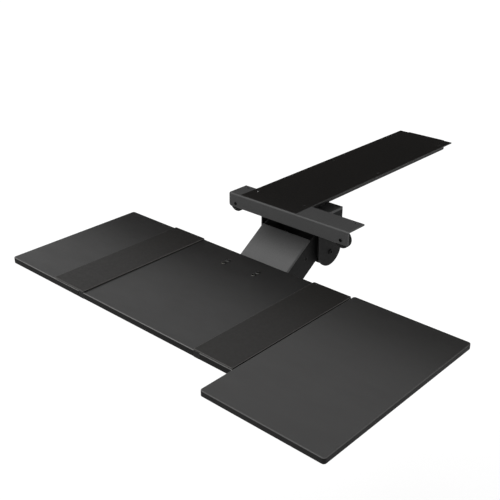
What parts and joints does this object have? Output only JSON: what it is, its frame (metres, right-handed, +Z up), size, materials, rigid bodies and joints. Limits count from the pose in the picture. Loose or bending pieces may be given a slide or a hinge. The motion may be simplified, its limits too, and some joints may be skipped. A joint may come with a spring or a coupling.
{
  "type": "keyboard tray under desk",
  "caption": "Under-desk keyboard tray: sliding, swivelling rail carriage, parallel-link lifting arm, tilting deck with telescoping wings and a swivelling mouse platform.",
  "frame": {"origin": "on the desk's underside, at the middle of the rail's screw pattern", "axes": "+Z up into the desk, +Y under the desk and away from the user, +X to the user's right"},
  "size_m": [0.6474, 0.773, 0.1675],
  "materials": {
    "board": "fine-textured black laminate",
    "black_steel": "black powder coat",
    "grey_steel": "graphite powder coat",
    "plated_steel": "zinc plated",
    "black_screw": "black oxide",
    "nylon": "natural nylon",
    "rubber": "matt",
    "knob_plastic": "moulded black plastic"
  },
  "bodies": {
    "root": {"track_rail": "black_steel", "front_bar": "grey_steel", "bar_bumpers": "rubber", "bumper_screws": "black_screw", "track_end_cap": "knob_plastic", "track_stops": "rubber"},
    "carriage": {"carriage_plate": "plated_steel", "glide_shoes": "nylon", "swivel_bearing": "nylon", "swivel_stud": "plated_steel", "stud_washer": "nylon", "stud_nut": "plated_steel"},
    "swivel": {"swivel_plate": "grey_steel", "cheek_left": "black_steel", "cheek_right": "black_steel", "bracket_web": "black_steel", "arm_pivot_pin": "black_screw", "link_pivot_pin": "black_screw", "link_spacers": "plated_steel"},
    "arm": {"arm_side_left": "black_steel", "arm_side_right": "black_steel", "arm_cover": "grey_steel", "arm_tie_rod": "black_screw", "arm_washers": "nylon"},
    "links": {"link_left": "plated_steel", "link_right": "plated_steel"},
    "head": {"head_plate_left": "black_steel", "head_plate_right": "black_steel", "head_arm_pin": "black_screw", "head_link_pin": "black_screw", "tilt_tube": "plated_steel"},
    "tray": {"tray_plate": "black_steel", "tray_ear_left": "black_steel", "tray_ear_right": "black_steel", "middle_deck": "board", "deck_screws": "black_screw", "strap_left": "black_steel", "strap_right": "black_steel", "strap_lips": "black_steel", "runner_guides": "nylon"},
    "tilt_knob": {"tilt_bolt": "plated_steel", "tilt_knob": "knob_plastic"},
    "wing_left": {"wing_left_panel": "board", "wing_left_runners": "plated_steel"},
    "wing_right": {"wing_right_panel": "board", "wing_right_runners": "plated_steel", "wing_stop_screw": "black_screw"},
    "mouse_platform": {"mouse_board": "board", "mouse_hub": "plated_steel", "mouse_washer": "nylon"},
    "mouse_knob": {"mouse_knob": "knob_plastic"},
    "lock_left": {"wing_left_lock": "knob_plastic"},
    "lock_right": {"wing_right_lock": "knob_plastic"}
  },
  "joints": [
    {"name": "track_slide", "type": "slide", "parent": "root", "child": "carriage", "axis": [0, 1, 0], "range_m": [0, 0.285]},
    {"name": "track_swivel", "type": "hinge", "parent": "carriage", "child": "swivel", "pos_m": [0, -0.139, -0.023], "axis": [0, 0, 1], "range_deg": [-30, 30]},
    {"name": "arm_lift", "type": "hinge", "parent": "swivel", "child": "arm", "pos_m": [0, -0.139, -0.0595], "axis": [-1, 0, 0], "range_deg": [-15, 18]},
    {"name": "link_turn", "type": "hinge", "parent": "swivel", "child": "links", "pos_m": [0, -0.139, -0.088], "axis": [-1, 0, 0], "range_deg": [-15, 18]},
    {"name": "head_level", "type": "hinge", "parent": "arm", "child": "head", "pos_m": [0, -0.24346, -0.12996], "axis": [-1, 0, 0], "range_deg": [-18, 15]},
    {"name": "tray_tilt", "type": "hinge", "parent": "head", "child": "tray", "pos_m": [0, -0.27246, -0.11896], "axis": [1, 0, 0], "range_deg": [-5, 15]},
    {"name": "tilt_knob_turn", "type": "hinge", "parent": "tray", "child": "tilt_knob", "pos_m": [0.069, -0.27246, -0.11896], "axis": [1, 0, 0], "range_deg": [0, 180]},
    {"name": "wing_left_slide", "type": "slide", "parent": "tray", "child": "wing_left", "axis": [-1, 0, 0], "range_m": [0, 0.04]},
    {"name": "wing_right_slide", "type": "slide", "parent": "tray", "child": "wing_right", "axis": [1, 0, 0], "range_m": [0, 0.04]},
    {"name": "mouse_swivel", "type": "hinge", "parent": "wing_right", "child": "mouse_platform", "pos_m": [0.23225, -0.36396, -0.08], "axis": [0, 0, 1], "range_deg": [-25, 25]},
    {"name": "mouse_knob_turn", "type": "hinge", "parent": "mouse_platform", "child": "mouse_knob", "pos_m": [0.23225, -0.36396, -0.1], "axis": [0, 0, 1], "range_deg": [0, 180]},
    {"name": "lock_left_turn", "type": "hinge", "parent": "tray", "child": "lock_left", "pos_m": [-0.08925, -0.42396, -0.106], "axis": [0, 0, 1], "range_deg": [0, 180]},
    {"name": "lock_right_turn", "type": "hinge", "parent": "tray", "child": "lock_right", "pos_m": [0.08925, -0.42396, -0.106], "axis": [0, 0, 1], "range_deg": [0, 180]}
  ],
  "couplings": [
    {"joint": "link_turn", "follows": "arm_lift", "ratio": 1},
    {"joint": "head_level", "follows": "arm_lift", "ratio": -1}
  ]
}
